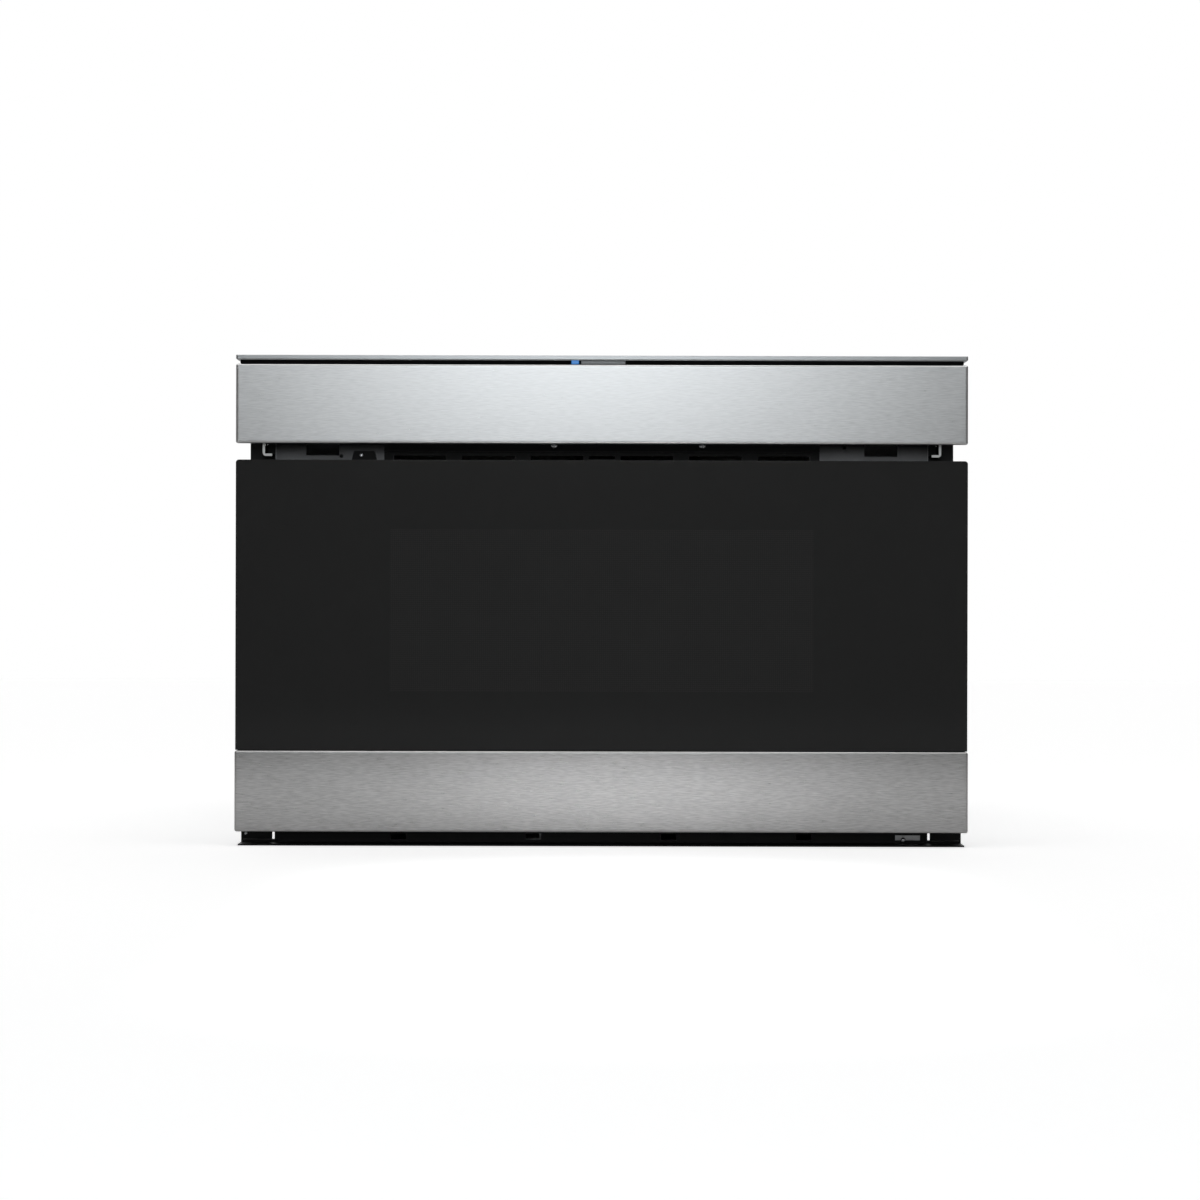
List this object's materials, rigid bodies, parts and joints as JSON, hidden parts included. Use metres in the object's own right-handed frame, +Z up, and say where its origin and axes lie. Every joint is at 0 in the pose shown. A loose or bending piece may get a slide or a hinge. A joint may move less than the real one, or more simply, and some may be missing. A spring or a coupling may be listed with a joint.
{
  "type": "microwave drawer",
  "caption": "Built-in microwave drawer with a black glass front, a powered drawer on telescopic rails and a control panel that tilts out.",
  "frame": {"origin": "centre of the overall box, at floor level", "axes": "+X across the front, +Z up; the front faces -Y and the drawer opens towards -Y"},
  "size_m": [0.606, 0.595, 0.406],
  "materials": {
    "stainless": "brushed along the width",
    "black_glass": "polished, printed black behind",
    "touch_glass": "polished black with lit symbols",
    "clear_glass": "clear",
    "ceramic_glass": "smooth",
    "black_plastic": "fine matte grain",
    "black_paint": "satin black",
    "enamel": "satin grey enamel",
    "galvanised": "galvanised sheet",
    "rail_zinc": "bright zinc",
    "gear_steel": "sintered steel",
    "white_nylon": "moulded nylon",
    "grey_plastic": "moulded",
    "silver_plastic": "silver coat",
    "blue_lens": "clear blue lens",
    "board": "green laminate",
    "stirrer_metal": "bare",
    "tube_metal": "satin",
    "core_iron": "varnished laminations"
  },
  "bodies": {
    "chassis": {"air_ducts": "grey_plastic", "air_grille": "black_plastic", "base_pan": "galvanised", "bottom_trim": "black_paint", "capacitor": "stirrer_metal", "control_housing": "black_plastic", "cord_gland": "black_plastic", "drawer_gearmotor": "grey_plastic", "drive_bracket": "galvanised", "fan_housing": "black_plastic", "flap_bracket_left": "galvanised", "flap_bracket_right": "galvanised", "flap_gearmotor": "grey_plastic", "front_plate": "galvanised", "interlock_switches": "grey_plastic", "magnetron": "tube_metal", "oven_cavity": "enamel", "oven_lamp": "galvanised", "position_sensor": "black_plastic", "power_board": "board", "rack_guide": "white_nylon", "rail_outer_left": "rail_zinc", "rail_outer_right": "rail_zinc", "rear_panel": "galvanised", "side_flange_left": "black_paint", "side_flange_right": "black_paint", "side_panel_left": "galvanised", "side_panel_right": "galvanised", "status_light": "blue_lens", "stirrer_cover": "white_nylon", "stirrer_motor": "grey_plastic", "top_cover": "galvanised", "top_trim": "stainless", "transformer": "core_iron", "waveguide": "galvanised"},
    "drawer": {"front_glass": "black_glass", "lower_fascia": "stainless", "front_frame": "black_plastic", "inner_panel": "enamel", "choke_cover": "black_plastic", "window_screen": "black_paint", "inner_window": "clear_glass", "drawer_bin": "enamel", "bin_floor": "ceramic_glass", "rail_inner_left": "rail_zinc", "rail_inner_right": "rail_zinc", "rail_brackets": "galvanised", "drawer_rack": "white_nylon", "latch_strikers": "white_nylon"},
    "rail_middle_l": {"rail_middle_left": "rail_zinc"},
    "rail_middle_r": {"rail_middle_right": "rail_zinc"},
    "pinion": {"drive_pinion": "gear_steel"},
    "flap": {"flap_face": "stainless", "flap_frame": "black_plastic", "control_glass": "touch_glass", "display_board": "board"},
    "button": {"open_button": "silver_plastic"},
    "stirrer": {"stirrer_fan": "stirrer_metal"},
    "cooling_fan": {"fan_impeller": "grey_plastic"}
  },
  "joints": [
    {"name": "drawer_slide", "type": "slide", "parent": "chassis", "child": "drawer", "axis": [0, -1, 0], "range_m": [0, 0.38]},
    {"name": "left_rail_slide", "type": "slide", "parent": "chassis", "child": "rail_middle_l", "axis": [0, -1, 0], "range_m": [0, 0.19]},
    {"name": "right_rail_slide", "type": "slide", "parent": "chassis", "child": "rail_middle_r", "axis": [0, -1, 0], "range_m": [0, 0.19]},
    {"name": "pinion_turn", "type": "hinge", "parent": "chassis", "child": "pinion", "pos_m": [-0.06, -0.21, 0.03313], "axis": [1, 0, 0], "range_deg": [0, 1090]},
    {"name": "flap_tilt", "type": "hinge", "parent": "chassis", "child": "flap", "pos_m": [0, -0.2855, 0.338], "axis": [1, 0, 0], "range_deg": [0, 45]},
    {"name": "button_press", "type": "slide", "parent": "chassis", "child": "button", "axis": [0, 1, 0], "range_m": [0, 0.0015], "stiffness_N_per_m": 400, "springref_m": -0.001},
    {"name": "stirrer_turn", "type": "hinge", "parent": "chassis", "child": "stirrer", "pos_m": [0, -0.044, 0.281], "axis": [0, 0, 1], "continuous": true},
    {"name": "fan_turn", "type": "hinge", "parent": "chassis", "child": "cooling_fan", "pos_m": [0.165, 0.262, 0.195], "axis": [0, 1, 0], "continuous": true}
  ],
  "couplings": [
    {"joint": "left_rail_slide", "follows": "drawer_slide", "ratio": 0.5},
    {"joint": "right_rail_slide", "follows": "drawer_slide", "ratio": 0.5},
    {"joint": "pinion_turn", "follows": "drawer_slide", "rad_per_m": 50}
  ]
}
